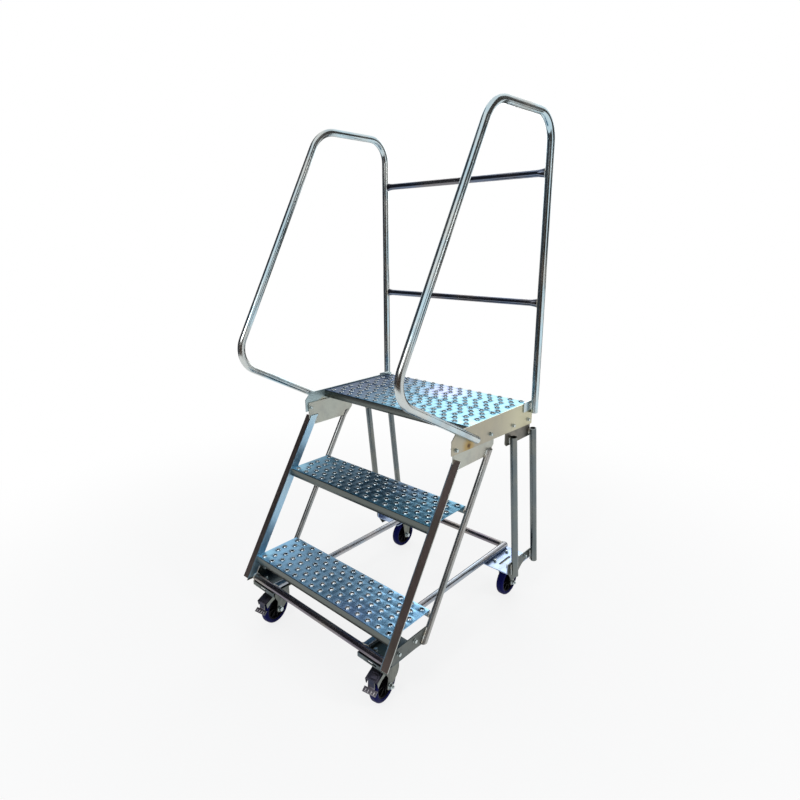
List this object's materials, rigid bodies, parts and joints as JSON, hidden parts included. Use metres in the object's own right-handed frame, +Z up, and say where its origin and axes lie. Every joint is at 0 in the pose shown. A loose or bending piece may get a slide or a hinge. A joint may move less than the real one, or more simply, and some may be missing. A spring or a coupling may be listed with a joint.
{
  "type": "mobile safety steps",
  "caption": "Wheeled steel access steps with dimpled treads, a railed platform, bent tube handrails and braked swivel castors at the front.",
  "frame": {"origin": "centre of the bounding box at floor level", "axes": "+X to the climber's right, +Y the climbing direction, +Z up"},
  "size_m": [0.6286, 0.7508, 1.4916],
  "materials": {
    "tyre": "navy blue elastic tread, satin",
    "hub": "black moulded",
    "bolt_steel": "zinc plated",
    "rail_tube": "zinc plated tube",
    "frame_tube": "zinc plated tube",
    "step_sheet": "zinc plated sheet, cool cast",
    "stile_steel": "zinc plated angle section",
    "castor_steel": "zinc plated pressing",
    "pedal_steel": "zinc plated pressing",
    "plate_steel": "zinc plated plate, warm cast"
  },
  "bodies": {
    "frame": {"base_side_plate_left": "plate_steel", "base_side_plate_right": "plate_steel", "base_side_tube_left": "frame_tube", "base_side_tube_right": "frame_tube", "front_cross_tube": "frame_tube", "front_mount_plate_left": "plate_steel", "front_mount_plate_right": "plate_steel", "front_stile_left": "stile_steel", "front_stile_right": "stile_steel", "guard_rail": "rail_tube", "gusset_left": "plate_steel", "gusset_right": "plate_steel", "handrail_left": "rail_tube", "handrail_right": "rail_tube", "knee_rail": "rail_tube", "leg_foot_plate_left": "plate_steel", "leg_foot_plate_right": "plate_steel", "leg_lug_left": "plate_steel", "leg_lug_right": "plate_steel", "platform_plank_front": "step_sheet", "platform_plank_rear": "step_sheet", "rear_axle_left": "bolt_steel", "rear_axle_right": "bolt_steel", "rear_cross_tube": "frame_tube", "rear_housing_left": "castor_steel", "rear_housing_right": "castor_steel", "rear_leg_aft_left": "frame_tube", "rear_leg_aft_right": "frame_tube", "rear_leg_forward_left": "frame_tube", "rear_leg_forward_right": "frame_tube", "rear_mount_plate_left": "plate_steel", "rear_mount_plate_right": "plate_steel", "rear_stringer_left": "frame_tube", "rear_stringer_right": "frame_tube", "side_plate_left": "plate_steel", "side_plate_right": "plate_steel", "swivel_plate_left": "castor_steel", "swivel_plate_right": "castor_steel", "tread_bottom": "step_sheet", "tread_middle": "step_sheet"},
    "front_fork_right": {"fork_right": "castor_steel", "brake_pedal_right": "pedal_steel", "front_axle_right": "bolt_steel"},
    "front_wheel_right": {"front_tyre_right": "tyre", "front_hub_right": "hub"},
    "rear_wheel_right": {"rear_tyre_right": "tyre", "rear_hub_right": "hub"},
    "front_fork_left": {"fork_left": "castor_steel", "brake_pedal_left": "pedal_steel", "front_axle_left": "bolt_steel"},
    "front_wheel_left": {"front_tyre_left": "tyre", "front_hub_left": "hub"},
    "rear_wheel_left": {"rear_tyre_left": "tyre", "rear_hub_left": "hub"}
  },
  "joints": [
    {"name": "front_swivel_right", "type": "hinge", "parent": "frame", "child": "front_fork_right", "pos_m": [0.236, -0.28085, 0.11], "axis": [0, 0, 1], "continuous": true},
    {"name": "front_roll_right", "type": "hinge", "parent": "front_fork_right", "child": "front_wheel_right", "pos_m": [0.24069, -0.30744, 0.05], "axis": [0.9848, 0.1736, 0], "continuous": true},
    {"name": "front_swivel_left", "type": "hinge", "parent": "frame", "child": "front_fork_left", "pos_m": [-0.236, -0.28085, 0.11], "axis": [0, 0, 1], "continuous": true},
    {"name": "front_roll_left", "type": "hinge", "parent": "front_fork_left", "child": "front_wheel_left", "pos_m": [-0.23131, -0.30744, 0.05], "axis": [0.9848, 0.1736, 0], "continuous": true},
    {"name": "rear_roll_right", "type": "hinge", "parent": "frame", "child": "rear_wheel_right", "pos_m": [0.236, 0.30715, 0.05], "axis": [1, 0, 0], "continuous": true},
    {"name": "rear_roll_left", "type": "hinge", "parent": "frame", "child": "rear_wheel_left", "pos_m": [-0.236, 0.30715, 0.05], "axis": [1, 0, 0], "continuous": true}
  ]
}
